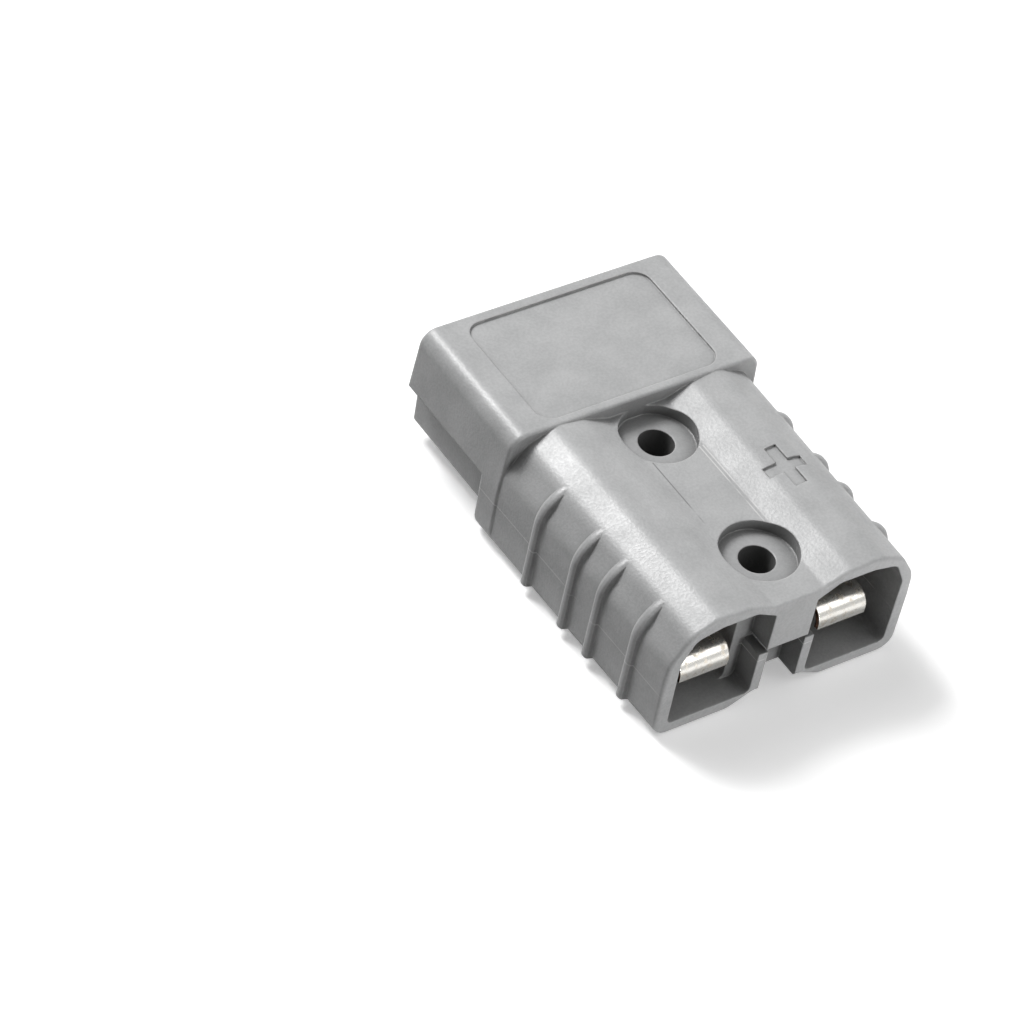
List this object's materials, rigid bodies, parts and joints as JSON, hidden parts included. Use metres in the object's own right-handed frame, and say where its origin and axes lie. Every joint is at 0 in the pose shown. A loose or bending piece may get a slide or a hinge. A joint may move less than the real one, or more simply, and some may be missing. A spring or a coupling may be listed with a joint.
{
  "type": "genderless power connector",
  "caption": "Genderless flat power connector with a hooded mating end, open fingers, arched cable channels, grip ribs and cross bolt holes.",
  "frame": {"origin": "under the middle of the housing, in the plane of its lowest faces", "axes": "+Y towards the mating end, +Z from the finger side to the hood side, +X across the poles"},
  "size_m": [0.0504, 0.073, 0.0244],
  "materials": {
    "housing": "moulded, matte",
    "contact": "silver-plated copper",
    "spring": "plated copper alloy strip with bare sheared edges"
  },
  "bodies": {
    "root": {"housing": "housing", "contact_left": "contact", "contact_right": "contact", "spring_left": "spring", "spring_right": "spring"}
  },
  "joints": []
}
